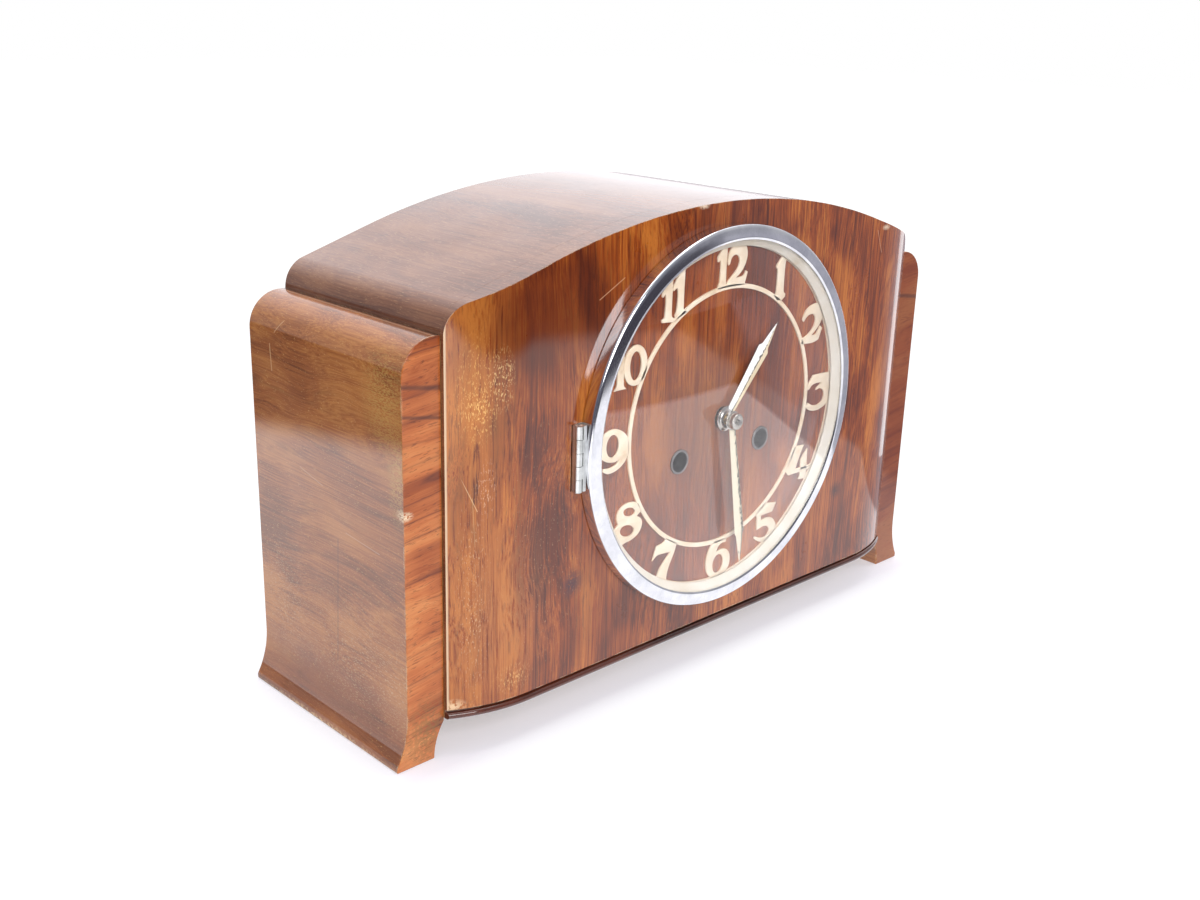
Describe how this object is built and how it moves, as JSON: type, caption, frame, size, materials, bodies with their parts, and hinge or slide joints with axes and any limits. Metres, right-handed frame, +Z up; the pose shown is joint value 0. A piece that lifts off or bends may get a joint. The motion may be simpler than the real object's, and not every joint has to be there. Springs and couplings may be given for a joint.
{
  "type": "tambour mantel clock",
  "caption": "Arched wooden mantel clock with winged feet, round chromed glass door, fret dial, two hands, two winding holes and a striking spring movement.",
  "frame": {"origin": "on the surface it stands on, under the middle of its width and of its whole depth", "axes": "+Z up, +X to the right as the dial is read, +Y from the dial to the rear door"},
  "size_m": [0.372, 0.1458, 0.2324],
  "materials": {
    "front_veneer": "glossy lacquered walnut veneer, vertical grain",
    "cover_veneer": "satin lacquered walnut veneer",
    "wing_veneer": "lacquered walnut, cross-banded front edge",
    "case_softwood": "plain sawn softwood, stained inside",
    "rear_ply": "stained plywood",
    "moulding_wood": "lacquered walnut bead",
    "bezel_chrome": "polished chrome plate",
    "bezel_glass": "clear domed glass",
    "cream_paint": "aged cream enamel",
    "fret_cream": "aged cream enamel on a stamped fret",
    "nickel": "nickel plate",
    "hand_metal": "cream enamel on steel, plating worn",
    "brass": "rolled brass, slightly dulled",
    "steel": "turned steel",
    "iron": "painted cast iron",
    "gong_bronze": "drawn bronze rod",
    "leather": "tan leather plug"
  },
  "bodies": {
    "case": {"front_board": "front_veneer", "top_cover": "cover_veneer", "wing_left": "wing_veneer", "wing_right": "wing_veneer", "side_boards": "case_softwood", "base_board": "case_softwood", "base_moulding": "moulding_wood", "back_frame": "rear_ply", "frame_hinge_leaves": "brass", "rear_hinge_pins": "steel", "button_screw": "brass", "hinge_plate": "nickel", "hinge_pin": "steel", "chapter_ring": "fret_cream", "winding_grommets": "nickel", "front_plate": "brass", "back_plate": "brass", "pillars": "brass", "pillar_nuts": "brass", "movement_posts": "steel", "suspension_cock": "brass", "gong_block": "iron", "gong_rods": "gong_bronze"},
    "bezel": {"bezel_ring": "bezel_chrome", "door_glass": "bezel_glass", "sight_ring": "cream_paint", "bezel_leaf": "nickel"},
    "door": {"rear_door": "rear_ply", "door_hinge_leaves": "brass"},
    "button": {"turn_button": "brass"},
    "minute": {"centre_arbor": "steel", "centre_wheel": "brass", "cannon_pinion": "steel", "minute_hand": "hand_metal", "hand_nut": "nickel"},
    "hour": {"hour_wheel": "brass", "hour_hand": "hand_metal"},
    "motion": {"minute_wheel": "brass"},
    "intermediate": {"intermediate_arbor": "steel", "intermediate_wheel": "brass"},
    "third": {"third_arbor": "steel", "third_wheel": "brass"},
    "escape": {"escape_arbor": "steel", "escape_wheel": "brass"},
    "time_drum": {"time_barrel": "brass"},
    "strike_drum": {"strike_barrel": "brass"},
    "time_winding": {"time_winding_arbor": "steel"},
    "strike_winding": {"strike_winding_arbor": "steel"},
    "time_pawl": {"time_click": "steel"},
    "strike_pawl": {"strike_click": "steel"},
    "pin": {"pin_wheel": "brass"},
    "warning": {"warning_wheel": "brass"},
    "fan": {"fly": "steel"},
    "pendulum": {"pendulum_rod": "steel", "pendulum_bob": "brass", "rating_nut": "brass"},
    "anchor": {"pallet_anchor": "steel", "crutch": "brass"},
    "hammers": {"hammer_arm": "steel", "hammer_heads": "leather"}
  },
  "joints": [
    {"name": "bezel_hinge", "type": "hinge", "parent": "case", "child": "bezel", "pos_m": [-0.0975, -0.06055, 0.12805], "axis": [0, 0, -1], "range_deg": [0, 115]},
    {"name": "rear_door_hinge", "type": "hinge", "parent": "case", "child": "door", "pos_m": [0.0956, 0.07075, 0.116], "axis": [0, 0, -1], "range_deg": [0, 150]},
    {"name": "turn_button_pivot", "type": "hinge", "parent": "case", "child": "button", "pos_m": [-0.102, 0.06995, 0.116], "axis": [0, 1, 0], "range_deg": [0, 90]},
    {"name": "minute_arbor", "type": "hinge", "parent": "case", "child": "minute", "pos_m": [0, -0.01755, 0.12805], "axis": [0, 1, 0], "continuous": true},
    {"name": "hour_pipe", "type": "hinge", "parent": "case", "child": "hour", "pos_m": [0, -0.01755, 0.12805], "axis": [0, 1, 0], "continuous": true},
    {"name": "minute_wheel_stud", "type": "hinge", "parent": "case", "child": "motion", "pos_m": [0.008, -0.01755, 0.14191], "axis": [0, 1, 0], "continuous": true},
    {"name": "intermediate_arbor_spin", "type": "hinge", "parent": "case", "child": "intermediate", "pos_m": [0.01561, -0.01755, 0.13595], "axis": [0, 1, 0], "continuous": true},
    {"name": "third_arbor_spin", "type": "hinge", "parent": "case", "child": "third", "pos_m": [-0.0084, -0.01755, 0.1426], "axis": [0, 1, 0], "continuous": true},
    {"name": "escape_arbor_spin", "type": "hinge", "parent": "case", "child": "escape", "pos_m": [0, -0.01755, 0.1538], "axis": [0, 1, 0], "continuous": true},
    {"name": "time_barrel_spin", "type": "hinge", "parent": "case", "child": "time_drum", "pos_m": [0.02959, -0.01755, 0.11169], "axis": [0, 1, 0], "continuous": true},
    {"name": "pin_wheel_spin", "type": "hinge", "parent": "case", "child": "pin", "pos_m": [-0.03493, -0.01755, 0.13918], "axis": [0, 1, 0], "continuous": true},
    {"name": "strike_barrel_spin", "type": "hinge", "parent": "case", "child": "strike_drum", "pos_m": [-0.02959, -0.01755, 0.11169], "axis": [0, 1, 0], "continuous": true},
    {"name": "warning_wheel_spin", "type": "hinge", "parent": "case", "child": "warning", "pos_m": [-0.03493, -0.01755, 0.15458], "axis": [0, 1, 0], "continuous": true},
    {"name": "fly_spin", "type": "hinge", "parent": "case", "child": "fan", "pos_m": [-0.02366, -0.01755, 0.15868], "axis": [0, 1, 0], "continuous": true},
    {"name": "time_winding_square", "type": "hinge", "parent": "case", "child": "time_winding", "pos_m": [0.02959, -0.01755, 0.11169], "axis": [0, 1, 0], "continuous": true},
    {"name": "strike_winding_square", "type": "hinge", "parent": "case", "child": "strike_winding", "pos_m": [-0.02959, -0.01755, 0.11169], "axis": [0, 1, 0], "continuous": true},
    {"name": "time_click_pivot", "type": "hinge", "parent": "case", "child": "time_pawl", "pos_m": [0.03819, -0.03705, 0.0994], "axis": [0, -1, 0], "range_deg": [0, 12], "stiffness_Nm_per_rad": 0.001, "springref_deg": -17.19},
    {"name": "strike_click_pivot", "type": "hinge", "parent": "case", "child": "strike_pawl", "pos_m": [-0.03819, -0.03705, 0.0994], "axis": [0, 1, 0], "range_deg": [0, 12], "stiffness_Nm_per_rad": 0.001, "springref_deg": -17.19},
    {"name": "pendulum_suspension", "type": "hinge", "parent": "case", "child": "pendulum", "pos_m": [0, 0.00845, 0.1668], "axis": [0, 1, 0], "range_deg": [-4, 4]},
    {"name": "anchor_arbor", "type": "hinge", "parent": "case", "child": "anchor", "pos_m": [0, -0.01755, 0.1668], "axis": [0, 1, 0], "range_deg": [-4, 4]},
    {"name": "hammer_arbor", "type": "hinge", "parent": "case", "child": "hammers", "pos_m": [-0.04, 0.00245, 0.085], "axis": [0, 1, 0], "range_deg": [0, 10]}
  ],
  "couplings": [
    {"joint": "hour_pipe", "follows": "minute_arbor", "ratio": 0.083333},
    {"joint": "minute_wheel_stud", "follows": "minute_arbor", "ratio": -0.33333},
    {"joint": "intermediate_arbor_spin", "follows": "minute_arbor", "ratio": -0.25},
    {"joint": "third_arbor_spin", "follows": "minute_arbor", "ratio": -6},
    {"joint": "escape_arbor_spin", "follows": "minute_arbor", "ratio": 36},
    {"joint": "time_barrel_spin", "follows": "minute_arbor", "ratio": 0.041667},
    {"joint": "strike_barrel_spin", "follows": "pin_wheel_spin", "ratio": -0.16667},
    {"joint": "warning_wheel_spin", "follows": "pin_wheel_spin", "ratio": -6},
    {"joint": "fly_spin", "follows": "pin_wheel_spin", "ratio": 30},
    {"joint": "anchor_arbor", "follows": "pendulum_suspension", "ratio": 1}
  ]
}
